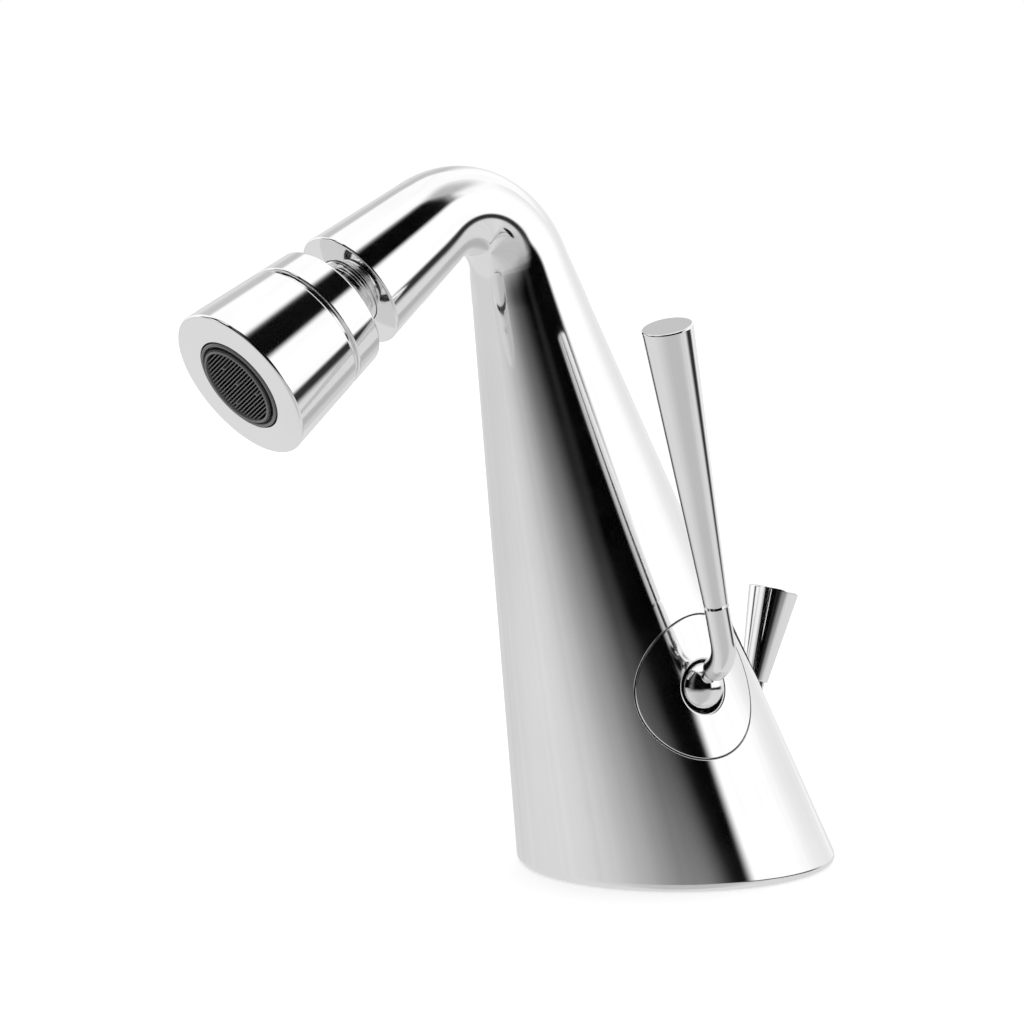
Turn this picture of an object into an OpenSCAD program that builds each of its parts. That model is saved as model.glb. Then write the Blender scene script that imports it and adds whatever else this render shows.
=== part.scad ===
// Single-lever bidet mixer: a leaning cone that bends over into a flared spout with a swivelling head.
// Millimetres, +Z up, spout towards -Y, lever on the +X side. The origin lies on the deck,
// where the axis of the cone meets it.

/* [Body] */
// Radius of the cone at the deck, square to its own axis
base_r = 35.65; // [34:0.05:40]
// Forward lean of the cone's axis from upright
body_lean = 18.2; // [16:0.2:21]
// Half angle of the cone
body_taper = 9.8; // [9.2:0.1:10.2]
// Length of the cone along its axis, up to the bend
cone_len = 144; // [136:0.5:150]
// Radius of the rounded edge of the foot
foot_r = 2; // [1.2:0.1:2.2]
// Height of the hose well in the foot
well_h = 22; // [18:0.5:24]
// Wall between the hose well and the outside, square to the cone's axis
well_wall = 5.6; // [5.2:0.1:7]
// Radius of the waterway in the cone, the bend and the spout
water_r = 5; // [4:0.1:5.5]

/* [Spout] */
// Radius of the bend along its centre line
bend_r = 16.3; // [15:0.1:19]
// Droop of the spout below level
spout_droop = 33.8; // [28:0.2:38]
// Radius of the spout where the bend ends
spout_r = 10.3; // [10:0.1:11]
// Half angle of the flare that the spout and the head share
flare = 6.8; // [5.5:0.1:7.5]
// Length of the spout from the bend to its end face
spout_len = 24.5; // [20:0.5:30]
// Rounding of the spout's end
spout_edge = 0.5; // [0.2:0.1:1]

/* [Swivel head] */
// Gap between the spout and the head
head_gap = 5.9; // [5.7:0.1:8]
// Length of the head
head_len = 27.3; // [26.5:0.1:32]
// Length of the head's rear collar
collar_len = 7.4; // [6.8:0.1:8.2]
// Width of the groove between collar and head
groove_w = 0.7; // [0.4:0.1:1]
// Depth of that groove
groove_d = 0.6; // [0.3:0.1:1]
// Rounding of the head's rims
head_edge = 0.6; // [0.3:0.1:1]
// Radius of the swivel's ball
ball_r = 7.5; // [7.2:0.1:7.8]
// Distance of the ball's centre from the head's rear face
ball_set = 5.5; // [5.2:0.1:5.9]
// Radius of the swivel's neck beside the ball
neck_r = 4; // [3.5:0.1:4.4]
// Radius of the bore through the swivel
nipple_bore_r = 2.6; // [2:0.1:2.8]
// Radius of the nipple's thread in the spout
nipple_thread_r = 6.5; // [6.2:0.1:7]
// Length of that thread
nipple_thread_len = 10; // [7:0.5:12]
// Radius of the nipple's flange at the spout's end face
nipple_flange_r = 7.5; // [7.3:0.1:8.2]
// Thickness of the ball's liner
liner_t = 1; // [0.8:0.1:1.2]
// Running clearance in the swivel
swivel_gap = 0.1; // [0.05:0.01:0.12]

/* [Aerator] */
// Radius of the aerator's thread in the head
aerator_r = 10.5; // [10.3:0.1:11]
// Length of the aerator behind the head's face
aerator_len = 11.4; // [10.6:0.1:11.8]
// Height of the aerator in front of the head's face
aerator_proud = 0.8; // [0.4:0.1:1.2]
// Radius of the outlet grid
grid_r = 8.8; // [8.2:0.1:9]
// Width of the grid's rim
grid_rim = 0.5; // [0.4:0.1:0.8]
// Distance between the grid's bars
bar_pitch = 0.96; // [0.8:0.02:1.2]
// Width of a bar of the grid
bar_w = 0.36; // [0.3:0.02:0.55]
// Depth of the grid
grid_t = 1.6; // [1.2:0.1:2.4]
// Turn of the bars about the head's axis
bar_turn = 25; // [0:1:90]

/* [Lever] */
// Distance of the cartridge's axis along the cone's axis
valve_s = 47.2; // [46:0.2:50]
// Radius of the cover disc
cover_r = 15.6; // [15.2:0.1:16]
// Depth of the cover's seat below the cone's side, on the cartridge's axis
cover_depth = 7.7; // [7.4:0.1:8]
// Radius of the lever's hole in the cover
cover_hole_r = 5.85; // [5.8:0.05:6.2]
// Radius of the lever's ball
lever_ball_r = 5.1; // [4.9:0.05:5.15]
// Depth of that ball's centre below the cone's side
lever_ball_sink = 2.1; // [1.9:0.1:2.4]
// Rise of the stem out of the ball, from the cartridge's axis
stem_rise = 36; // [30:1:40]
// Outward lean of the handle
lever_out = 5.4; // [2:0.2:9]
// Distance of the handle's axis from the cone's side, level with the ball
lever_reach = 8.2; // [8:0.1:11]
// Distance of the handle's foot from the cartridge's axis
handle_rise = 20; // [18:0.5:24]
// Radius of the elbow's tube
elbow_r = 2.72; // [2.4:0.02:3]
// Radius of the stem at the ball
stem_r = 1.8; // [1.5:0.1:2.2]
// Radius of the elbow's bend
elbow_bend_r = 8; // [6:0.5:10]
// Width of the shadow line between elbow and handle
handle_line = 0.35; // [0.2:0.05:0.6]
// Length of the handle
handle_len = 63.8; // [50:0.2:75]
// Radius of the handle at its foot
handle_foot_r = 2.72; // [2.4:0.02:3]
// Radius of the handle at its top
handle_top_r = 5.5; // [4.5:0.1:6.5]
// Rounding of the handle's top
handle_edge = 0.4; // [0.2:0.1:0.8]
// Length of the spindle from the ball's centre to its tip
spindle_len = 14; // [13.6:0.1:14.4]
// Tilt of the spindle when the lever is shut, half of its travel
spindle_tilt = 10; // [8:0.5:11]

/* [Cartridge] */
// Radius of the cartridge
cart_r = 13; // [12.6:0.1:13.2]
// Wall of the cartridge's housing
cart_wall = 1; // [0.8:0.1:1.2]
// Thickness of the cartridge's base
cart_base_t = 3.4; // [3:0.1:4]
// Thickness of the fixed ceramic disc
fixed_disc_t = 3.4; // [2.8:0.1:4]
// Thickness of the moving ceramic disc
moving_disc_t = 3.1; // [2.6:0.1:3.6]
// Radius of the moving ceramic disc and its carrier
moving_disc_r = 9; // [8:0.1:9.3]
// Radius of the circle that the water ports lie on
port_circle_r = 6.5; // [6:0.1:6.8]
// Radius of the water ports
port_r = 2.4; // [2:0.1:2.6]
// Radial room between the cartridge's turning pieces
cart_gap = 0.1; // [0.05:0.01:0.12]

/* [Connections] */
// Radius of the threaded hose inlets
inlet_r = 4.5; // [4.3:0.1:4.7]
// Depth of the hose inlets' thread
inlet_len = 8.5; // [7:0.5:9]
// Radius of the boss in the hose well that takes the fixing stud
stud_boss_r = 7.5; // [6.5:0.5:8]
// Radius of the threaded hole for the fixing stud
stud_hole_r = 3.4; // [2.5:0.1:4.2]
// Depth of that hole
stud_hole_len = 14; // [10:0.5:18]

/* [Pop-up waste lift] */
// Backward lean of the lift rod
rod_lean = 16.2; // [14:0.2:18]
// Distance from the cone's radius to the place where the rod's axis meets the deck
rod_inset = 21.05; // [20:0.05:22]
// Radius of the lift rod
rod_r = 2.5; // [2:0.1:3]
// Radius of the threaded tail of the rod
rod_tail_r = 2; // [1.5:0.1:2]
// Height of the rod's lower end along its axis
rod_start = 7; // [6.5:0.5:9]
// Length of the threaded tail
rod_tail_len = 10; // [8:0.5:11]
// Height of the knob's foot along the rod's axis
knob_start = 40.5; // [40:0.5:46]
// Length of the knob
knob_len = 22.2; // [18:0.2:28]
// Radius of the knob at its foot
knob_foot_r = 3.15; // [3.1:0.05:4]
// Radius of the knob at its top
knob_top_r = 5.9; // [5:0.1:7]
// Rounding of the knob's top
knob_edge = 0.4; // [0.2:0.1:0.8]
// Wall of the rod's guide bush
bush_wall = 2; // [1.6:0.1:2.4]
// Running clearance of the rod
rod_gap = 0.06; // [0.03:0.01:0.1]

/* [Hidden] */

$fn = 72;

// Finishes
chrome = "gainsboro";
brass = "darkkhaki";
black_plastic = [0.12, 0.12, 0.13];
white_plastic = "ivory";
ceramic = "whitesmoke";
rubber = [0.16, 0.16, 0.16];

// Sides of the body's skin and rings round its bend
skin_sides = 60;
bend_steps = 14;
// Sides of the lever's elbow, rings round its bend and rings of its shoulder
elbow_sides = 32;
elbow_steps = 10;
shoulder_steps = 4;
// Steps of a rounded rim
rim_steps = 5;
// How far a cutting shape runs past what it cuts
past = 1;
// Radial room between pieces that are screwed or pressed together
fit = 0.02;

// Body
taper = tan(body_taper);
bend_turn = 90 + spout_droop - body_lean;
bend_len = bend_r * bend_turn * PI / 180;
flare_k = tan(flare);
cone_top_r = base_r - taper * cone_len;
spout_end_r = spout_r + flare_k * spout_len;
seal_inset = 2.6;
seal_w = 1.8;
seal_h = 1.5;

// Cartridge, in distances from the cone's axis along X, from the outside in
side_x = base_r - taper * valve_s;
ball_x = side_x - lever_ball_sink;
cover_floor_x = side_x - cover_depth;
nut_lift = 0.5;
rotor_gap = 0.3;
nut_h = 3.8;
nut_wall = 1.4;
nut_top_x = cover_floor_x - nut_lift;
nut_foot_x = nut_top_x - nut_h;
shoulder_w = 2;
housing_top_x = nut_foot_x + 3;
housing_top_t = 1.8;
housing_hole_r = lever_ball_r + 1;
skirt_x = housing_top_x + rotor_gap;
rotor_flange_t = 3;
rotor_r = cart_r - shoulder_w - cart_wall - rotor_gap;
rotor_top_x = housing_top_x - housing_top_t - rotor_gap;
rotor_foot_x = rotor_top_x - rotor_flange_t;
rotor_sleeve_r = cover_hole_r - 0.15;
rotor_lip = 0.9;
spindle_r = 1.6;
spindle_tip_r = 2.2;
tip_x = ball_x - spindle_len * cos(spindle_tilt);
shut_w = -spindle_len * sin(spindle_tilt);
carrier_top_x = min(tip_x + 1.4, rotor_foot_x - rotor_gap);
carrier_boss_h = 5;
carrier_boss_r = 4.2;
carrier_t = 6;
disc_top_x = carrier_top_x - carrier_boss_h - carrier_t;
disc_gap = 0.05;
fixed_top_x = disc_top_x - moving_disc_t - disc_gap;
base_top_x = fixed_top_x - fixed_disc_t;
seat_x = base_top_x - cart_base_t;
port_seal_w = 1.3;
port_seal_t = 1.2;
inlet_x = seat_x - inlet_r - 0.5;
// A riser is a little wider than the ports that run into it, and the bend a little narrower than its bores
riser_r = port_r + 0.4;
water_step = 0.4;
outlet_s = valve_s + cart_r + 8;

// Lever, in its own plane: x outwards, w along the cone's axis, from the ball's centre
lever_x = lever_reach + lever_ball_sink;
corner_t = lever_x / (cos(stem_rise) - tan(lever_out) * sin(stem_rise));
corner_w = corner_t * sin(stem_rise);
corner_x = corner_t * cos(stem_rise);
elbow_turn = 90 - lever_out - stem_rise;
elbow_leg = elbow_bend_r * tan(elbow_turn / 2);
elbow_top = (handle_rise - corner_w) / cos(lever_out);
shoulder_len = 1.6;
shoulder_t = corner_t - elbow_leg - 1.5;
elbow_centre = [corner_x, corner_w] - elbow_leg * [cos(stem_rise), sin(stem_rise)]
    + elbow_bend_r * [-sin(stem_rise), cos(stem_rise)];
stud_r = 1.2;
stud_half = 5;

// Head, in distances along the spout's axis from the bend
head_rear = spout_len + head_gap;
head_face = head_rear + head_len;
ball_at = head_rear + ball_set;
liner_r = ball_r + swivel_gap + liner_t;
seat_r = liner_r + swivel_gap;
seat_wall = 1.5;
seat_start = 0.6;
seat_len = 4;
collar_hole_r = sqrt(seat_r * seat_r - ball_set * ball_set) + 0.2;
chamber_r = aerator_r - 1.7;
aerator_seal_t = 1.5;
aerator_gap = 0.1;
// Sleeve round the grid, and the low ring that a groove sets off from it
sleeve_r = grid_r + 0.35;
ring_h = 0.3;
aerator_seat = head_face - aerator_len - aerator_seal_t - aerator_gap;

// Lift rod
rod_y = base_r - rod_inset;
bush_r = rod_r + bush_wall;
knob_hole_len = 12;
rod_seal_w = 1;
rod_seal_t = 1.8;
bush_foot = (well_h + bush_r * sin(rod_lean)) / cos(rod_lean) + 0.5;

function cone_r(s) = base_r - taper * s;
function head_r(l) = spout_r + flare_k * l;
function lean_point(p) = [p.x, p.y * cos(body_lean) - p.z * sin(body_lean),
                          p.y * sin(body_lean) + p.z * cos(body_lean)];
// Radius through the bend: it leaves the cone and joins the flare without a crease
function bend_skin_r(u) = (2 * pow(u, 3) - 3 * pow(u, 2) + 1) * cone_top_r
    - (pow(u, 3) - 2 * pow(u, 2) + u) * bend_len * taper
    + (3 * pow(u, 2) - 2 * pow(u, 3)) * spout_r
    + (pow(u, 3) - pow(u, 2)) * bend_len * flare_k;
// Ring of the skin, square to the centre line at place [y, z], which is tilted by tilt
function skin_ring(y, z, tilt, r) = [for (i = [0:skin_sides - 1]) let (v = 360 * (i + 0.5) / skin_sides)
    lean_point([r * cos(v), y + r * sin(v) * cos(tilt), z + r * sin(v) * sin(tilt)])];
// Level ring of the cone at height h, drawn in by inset
function foot_ring(h, inset) = [for (i = [0:skin_sides - 1])
    let (v = 360 * (i + 0.5) / skin_sides,
         s = (h - base_r * sin(v) * sin(body_lean)) / (cos(body_lean) - taper * sin(v) * sin(body_lean)),
         p = lean_point([cone_r(s) * cos(v), cone_r(s) * sin(v), s]),
         d = p - [0, -h * tan(body_lean), h])
    p - d * inset / norm(d)];
function bend_ring(u) = skin_ring(bend_r * (cos(u * bend_turn) - 1), cone_len + bend_r * sin(u * bend_turn),
                                  u * bend_turn, bend_skin_r(u));
function spout_ring(l, r) = skin_ring(bend_r * (cos(bend_turn) - 1) - l * sin(bend_turn),
                                      cone_len + bend_r * sin(bend_turn) + l * cos(bend_turn), bend_turn, r);
// Ring of the lever's elbow round the place [x, w], square to the rise given
function lever_ring(place, rise, r) = [for (i = [0:elbow_sides - 1]) let (v = 360 * i / elbow_sides)
    [place.x - r * sin(v) * sin(rise), r * cos(v), place.y + r * sin(v) * cos(rise)]];
// Ring of the stem, t out of the ball's centre
function stem_ring(t, r) = lever_ring(t * [cos(stem_rise), sin(stem_rise)], stem_rise, r);
function elbow_ring(rise) = lever_ring(elbow_centre + elbow_bend_r * [sin(rise), -cos(rise)], rise, elbow_r);
// Quarter-round rim from [r, z - e] to [r - e, z]
function rim(r, z, e) = [for (i = [0:rim_steps]) let (t = 90 * i / rim_steps)
    [r - e + e * cos(t), z - e + e * sin(t)]];
// The same, seen the other way: from [r - e, z] to [r, z + e]
function foot_rim(r, z, e) = [for (i = [0:rim_steps]) let (t = 90 * i / rim_steps)
    [r - e + e * sin(t), z + e - e * cos(t)]];
// Places of the three water ports: [along the cone's axis, across it]
function port_place(i) = port_circle_r * [cos(120 * i), sin(120 * i)];

module lean() rotate([body_lean, 0, 0]) children();

// Along the cartridge's axis: z runs outwards from the cone's axis
module valve_at(x) lean() translate([x, 0, valve_s]) rotate([0, 90, 0]) children();

// In the lever's plane, from the ball's centre
module lever_frame() lean() translate([ball_x, 0, valve_s]) children();

module handle_frame() lever_frame()
    translate([corner_x, 0, corner_w]) rotate([0, lever_out, 0]) translate([0, 0, elbow_top]) children();

// Along the spout's axis, l behind the bend
module spout_at(l) lean() translate([0, -bend_r, cone_len]) rotate([bend_turn, 0, 0])
    translate([0, bend_r, l]) children();

// Along the lift rod, from the deck
module rod_at(a) translate([0, rod_y, 0]) rotate([-rod_lean, 0, 0]) translate([0, 0, a]) children();

// Ring from z = 0 to h
module ring(r, hole_r, h) difference() {
    cylinder(r = r, h = h);
    translate([0, 0, -past]) cylinder(r = hole_r, h = h + 2 * past);
}

// The cone, drawn in by inset
module cone(inset) lean() translate([0, 0, -base_r])
    cylinder(r1 = cone_r(-base_r) - inset, r2 = cone_top_r - inset, h = cone_len + base_r);

// Level slice of the cone, from z = low to high
module cone_slice(inset, low, high) intersection() {
    cone(inset);
    translate([-2 * base_r, -2 * base_r, low]) cube([4 * base_r, 4 * base_r, high - low]);
}

module body_skin() {
    rings = concat([for (a = [0:30:90]) foot_ring(foot_r * (1 - cos(a)), foot_r * (1 - sin(a)))],
                   [for (j = [0:bend_steps]) bend_ring(j / bend_steps)],
                   [spout_ring(spout_len - spout_edge, spout_end_r),
                    spout_ring(spout_len - 0.3 * spout_edge, spout_end_r - 0.3 * spout_edge),
                    spout_ring(spout_len, spout_end_r - spout_edge)]);
    loft(rings);
}

// Solid skin over rings with the same number of points
module loft(rings) {
    n = len(rings[0]);
    last = len(rings) - 1;
    walls = [for (j = [0:last - 1], i = [0:n - 1], half = [0, 1])
        let (a = j * n + i, b = j * n + (i + 1) % n, c = b + n, d = a + n)
        half == 0 ? [a, d, c] : [a, c, b]];
    polyhedron([for (r = rings) each r],
               concat(walls, [[for (i = [0:n - 1]) i]], [[for (i = [n - 1:-1:0]) last * n + i]]));
}

// Waterway from the cartridge's seat up the cone and through the bend
module waterway() {
    for (i = [0:2]) valve_at(inlet_x) translate([-port_place(i).x, port_place(i).y, 0])
        cylinder(r = port_r, h = seat_x - inlet_x + past);
    lean() {
        translate([inlet_x, 0, valve_s + port_circle_r - 1.1 * riser_r])
            cylinder(r = riser_r, h = outlet_s - valve_s - port_circle_r + 2 * riser_r);
        translate([inlet_x, 0, outlet_s]) rotate([0, 90, 0]) cylinder(r = water_r - water_step, h = -inlet_x);
        translate([0, 0, outlet_s]) cylinder(r = water_r, h = cone_len + water_step - outlet_s);
        translate([0, -bend_r, cone_len]) rotate([90, 0, 90])
            rotate_extrude(angle = bend_turn) translate([bend_r, 0]) circle(r = water_r - water_step);
    }
    spout_at(-water_step) cylinder(r = water_r, h = spout_len);
}

// Bored seats of the cartridge, its nut and its cover
module valve_seats() {
    valve_at(seat_x) cylinder(r = cart_r + fit, h = nut_foot_x - seat_x + past);
    valve_at(nut_foot_x) cylinder(r = cart_r + nut_wall + fit, h = cover_floor_x - nut_foot_x + past);
    valve_at(cover_floor_x) cylinder(r = cover_r + cart_gap, h = base_r);
}

// Hose inlets, with the drilling from each up to its port
module inlets() for (i = [1, 2]) {
    p = lean_point([inlet_x, port_place(i).y, valve_s + port_place(i).x]);
    translate([p.x, p.y, well_h - past]) cylinder(r = inlet_r, h = inlet_len + past);
    translate([p.x, p.y, well_h]) cylinder(r = riser_r, h = p.z + riser_r - well_h);
}

module body() color(chrome) difference() {
    body_skin();
    difference() {
        cone_slice(well_wall, -past, well_h);
        cylinder(r = stud_boss_r, h = well_h + past);
    }
    difference() {
        cone_slice(seal_inset, -past, seal_h);
        cone_slice(seal_inset + seal_w, -2 * past, seal_h + past);
    }
    valve_seats();
    waterway();
    inlets();
    translate([0, 0, -past]) cylinder(r = stud_hole_r, h = stud_hole_len + past);
    spout_at(spout_len - nipple_thread_len - past) cylinder(r = nipple_thread_r + fit, h = spout_len);
    spout_at(spout_len - spout_edge) cylinder(r = nipple_flange_r + cart_gap, h = 2 * spout_edge);
    rod_at(0) cylinder(r = bush_r + fit, h = knob_start);
}

module base_seal() color(rubber) difference() {
    cone_slice(seal_inset + fit, 0, seal_h);
    cone_slice(seal_inset + seal_w - fit, -past, seal_h + past);
}

module cartridge_cover() color(chrome) difference() {
    union() {
        intersection() {
            cone(0);
            valve_at(cover_floor_x) cylinder(r = cover_r, h = base_r);
        }
        valve_at(skirt_x) ring(cart_r - shoulder_w, cart_r - 2 * shoulder_w, cover_floor_x - skirt_x);
    }
    valve_at(cover_floor_x - past) cylinder(r = cover_hole_r, h = base_r);
}

module retaining_nut() color(brass)
    valve_at(nut_foot_x) ring(cart_r + nut_wall, cart_r - shoulder_w + cart_gap, nut_h);

module cartridge_housing() color(white_plastic) difference() {
    union() {
        valve_at(base_top_x) cylinder(r = cart_r, h = nut_foot_x - base_top_x);
        valve_at(base_top_x) cylinder(r = cart_r - shoulder_w, h = housing_top_x - base_top_x);
    }
    valve_at(base_top_x - past) cylinder(r = cart_r - cart_wall, h = rotor_foot_x - base_top_x + past);
    valve_at(rotor_foot_x - past) cylinder(r = rotor_r + rotor_gap, h = rotor_flange_t + rotor_gap + past);
    valve_at(0) cylinder(r = housing_hole_r + cart_gap, h = base_r);
}

// Plate with the three water ports, from z = 0
module ported_plate(r, t) difference() {
    cylinder(r = r, h = t);
    for (i = [0:2]) translate([-port_place(i).x, port_place(i).y, -past]) cylinder(r = port_r, h = t + 2 * past);
}

module cartridge_base() color(white_plastic) valve_at(seat_x) difference() {
    ported_plate(cart_r, cart_base_t);
    for (i = [0:2]) translate([-port_place(i).x, port_place(i).y, -past])
        cylinder(r = port_r + port_seal_w + fit, h = port_seal_t + past);
}

module port_seals() color(rubber) valve_at(seat_x)
    for (i = [0:2]) translate([-port_place(i).x, port_place(i).y, 0])
        ring(port_r + port_seal_w, port_r, port_seal_t);

module fixed_disc() color(ceramic) valve_at(base_top_x) ported_plate(cart_r - cart_wall - fit, fixed_disc_t);

module moving_disc() color(ceramic) lean() translate([0, 0, shut_w]) rotate([-body_lean, 0, 0])
    valve_at(disc_top_x - moving_disc_t) difference() {
        cylinder(r = moving_disc_r, h = moving_disc_t);
        translate([0, 0, -past]) cylinder(r = moving_disc_r / 2, h = moving_disc_t / 2 + past);
    }

module disc_carrier() color(white_plastic) lean() translate([0, 0, shut_w]) rotate([-body_lean, 0, 0])
    valve_at(disc_top_x) difference() {
        union() {
            cylinder(r = moving_disc_r, h = carrier_t);
            cylinder(r = carrier_boss_r, h = carrier_t + carrier_boss_h);
        }
        translate([0, 0, carrier_t]) cylinder(r = spindle_tip_r + cart_gap / 2, h = base_r);
    }

module lever_rotor() color(black_plastic) difference() {
    union() {
        valve_at(rotor_foot_x) cylinder(r = rotor_r, h = rotor_flange_t);
        valve_at(rotor_foot_x) cylinder(r = housing_hole_r, h = housing_top_x - rotor_foot_x);
        valve_at(rotor_foot_x) cylinder(r = rotor_sleeve_r, h = ball_x + rotor_lip - rotor_foot_x);
    }
    valve_at(ball_x) sphere(r = lever_ball_r + cart_gap);
    // The slot keeps the spindle's tilt in the lever's plane
    lever_frame() translate([-base_r, -spindle_r - cart_gap, -spindle_len * sin(spindle_tilt) - spindle_r])
        cube([base_r, 2 * (spindle_r + cart_gap), 2 * (spindle_len * sin(spindle_tilt) + spindle_r)]);
}

module lever_ball() color(chrome) lever_frame() {
    sphere(r = lever_ball_r);
    rotate([0, -90 - spindle_tilt, 0]) {
        cylinder(r = spindle_r, h = spindle_len);
        translate([0, 0, spindle_len]) sphere(r = spindle_tip_r);
    }
}

module lever_elbow() color(chrome) difference() {
    lever_frame() loft(concat(
        [stem_ring(0, stem_r)],
        [for (j = [0:shoulder_steps]) let (a = 90 * j / shoulder_steps)
            stem_ring(shoulder_t - shoulder_len * cos(a), stem_r + (elbow_r - stem_r) * sin(a))],
        [for (j = [0:elbow_steps]) elbow_ring(stem_rise + elbow_turn * j / elbow_steps)],
        [lever_ring([corner_x + elbow_top * sin(lever_out), handle_rise], 90 - lever_out, elbow_r)]));
    lever_frame() sphere(r = lever_ball_r + fit);
    handle_frame() translate([0, 0, -stud_half]) cylinder(r = stud_r + fit, h = 2 * stud_half);
}

module handle_stud() color(brass) handle_frame() translate([0, 0, -stud_half]) cylinder(r = stud_r, h = 2 * stud_half);

module lever_handle() color(chrome) handle_frame() difference() {
    rotate_extrude() polygon(concat(
        [[0, 0], [handle_foot_r - handle_line, 0], [handle_foot_r - handle_line, handle_line],
         [handle_foot_r, handle_line]],
        rim(handle_top_r, handle_line + handle_len, handle_edge), [[0, handle_line + handle_len]]));
    translate([0, 0, -past]) cylinder(r = stud_r + fit, h = stud_half + past);
}

module swivel_nipple() color(chrome) difference() {
    union() {
        spout_at(spout_len - nipple_thread_len) cylinder(r = nipple_thread_r, h = nipple_thread_len);
        spout_at(spout_len - spout_edge) rotate_extrude() polygon(concat(
            [[0, 0], [nipple_flange_r, 0]], rim(nipple_flange_r, 2.5 * spout_edge, spout_edge),
            [[nipple_flange_r - 1.2, 2.5 * spout_edge], [nipple_flange_r - 1.2, 4.5 * spout_edge],
             [nipple_flange_r - 1.9, 4.5 * spout_edge], [nipple_flange_r - 1.9, 5.5 * spout_edge]],
            [[nipple_flange_r - 1.5, 5.5 * spout_edge], [nipple_flange_r - 1.5, 6.5 * spout_edge],
             [neck_r, head_gap + spout_edge], [neck_r, head_gap + ball_set], [0, head_gap + ball_set]]));
        spout_at(ball_at) sphere(r = ball_r);
    }
    spout_at(0) cylinder(r = nipple_bore_r, h = head_face);
}

module ball_liner() color(white_plastic) spout_at(ball_at) intersection() {
    difference() {
        sphere(r = liner_r);
        sphere(r = ball_r + swivel_gap);
    }
    translate([0, 0, -0.4 * liner_r]) cylinder(r = 2 * liner_r, h = 0.8 * liner_r);
}

module ball_seat() color(white_plastic) spout_at(ball_at) difference() {
    translate([0, 0, seat_start]) cylinder(r = seat_r + seat_wall, h = seat_len);
    sphere(r = seat_r);
}

module swivel_collar() color(chrome) difference() {
    spout_at(head_rear) rotate_extrude() polygon(concat(
        [[0, 0]], foot_rim(head_r(head_rear), 0, head_edge),
        rim(head_r(head_rear + collar_len), collar_len, head_edge / 2), [[0, collar_len]]));
    spout_at(ball_at) sphere(r = seat_r);
    spout_at(head_rear - past) cylinder(r = collar_hole_r, h = ball_set);
    spout_at(ball_at + seat_start - swivel_gap) cylinder(r = seat_r + seat_wall + swivel_gap, h = head_len);
}

module swivel_head() color(chrome) difference() {
    spout_at(head_rear + collar_len) rotate_extrude() polygon(concat(
        [[0, 0], [head_r(head_rear + collar_len) - groove_d, 0],
         [head_r(head_rear + collar_len) - groove_d, groove_w]],
        foot_rim(head_r(head_rear + collar_len + groove_w), groove_w, head_edge / 2),
        rim(head_r(head_face), head_len - collar_len, head_edge), [[0, head_len - collar_len]]));
    spout_at(head_rear) cylinder(r = seat_r + seat_wall + swivel_gap,
                                 h = ball_set + seat_start + seat_len + swivel_gap);
    spout_at(head_rear) cylinder(r = chamber_r, h = head_len);
    spout_at(aerator_seat) cylinder(r = aerator_r + aerator_gap, h = head_len);
}

module aerator_seal() color(rubber) spout_at(aerator_seat) ring(aerator_r, chamber_r, aerator_seal_t);

module flow_plate() color(black_plastic) spout_at(head_face - aerator_len) difference() {
    cylinder(r = grid_r, h = grid_t);
    for (i = [0:11], row = [1, 2]) rotate([0, 0, 30 * i + 15 * row])
        translate([row * grid_r / 3, 0, -past]) cylinder(r = grid_r / 14, h = grid_t + 2 * past, $fn = 24);
}

module aerator_housing() color(black_plastic) spout_at(head_face - aerator_len) difference() {
    rotate_extrude() polygon(concat([[0, 0], [aerator_r, 0]], rim(aerator_r, aerator_len + ring_h, ring_h),
        [[sleeve_r + 2 * ring_h, aerator_len + ring_h], [sleeve_r + 2 * ring_h, aerator_len - 2 * ring_h],
         [sleeve_r, aerator_len - 2 * ring_h], [sleeve_r, aerator_len + aerator_proud],
         [0, aerator_len + aerator_proud]]));
    translate([0, 0, -past]) cylinder(r = grid_r + fit, h = 2 * aerator_len);
}

module aerator_grid() color(black_plastic) spout_at(head_face + aerator_proud - grid_t) {
    ring(grid_r, grid_r - grid_rim, grid_t);
    rotate([0, 0, bar_turn]) intersection() {
        cylinder(r = grid_r - grid_rim / 2, h = grid_t - bar_w);
        union() {
            for (y = [-floor(grid_r / bar_pitch):floor(grid_r / bar_pitch)])
                translate([-grid_r, y * bar_pitch - bar_w / 2, 0]) cube([2 * grid_r, bar_w, grid_t]);
            // Short ties steady the long bars
            for (t = [[0, 1], [0, -6], [-grid_r / 2, -2], [grid_r / 2, -2], [-grid_r / 3, 5], [grid_r / 3, 5]])
                translate([t.x - bar_w / 2, t.y * bar_pitch, 0]) cube([bar_w, bar_pitch, grid_t]);
        }
    }
}

module rod_bush() color(brass) difference() {
    intersection() {
        cone(fit);
        rod_at(bush_foot) cylinder(r = bush_r, h = knob_start);
    }
    rod_at(0) cylinder(r = rod_r + rod_gap, h = knob_start);
    rod_at(bush_foot + rod_seal_t) cylinder(r = rod_r + rod_seal_w + fit, h = rod_seal_t + fit);
}

module rod_seal() color(rubber) rod_at(bush_foot + rod_seal_t) ring(rod_r + rod_seal_w, rod_r + rod_gap, rod_seal_t);

module lift_rod() color(chrome) rod_at(rod_start) {
    cylinder(r = rod_tail_r, h = rod_tail_len);
    translate([0, 0, rod_tail_len])
        cylinder(r = rod_r, h = knob_start + knob_hole_len - rod_start - rod_tail_len);
}

module lift_knob() color(chrome) rod_at(knob_start) difference() {
    rotate_extrude() polygon(concat([[0, 0], [knob_foot_r, 0]], rim(knob_top_r, knob_len, knob_edge), [[0, knob_len]]));
    translate([0, 0, -past]) cylinder(r = rod_r + fit, h = knob_hole_len + past);
}

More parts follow.
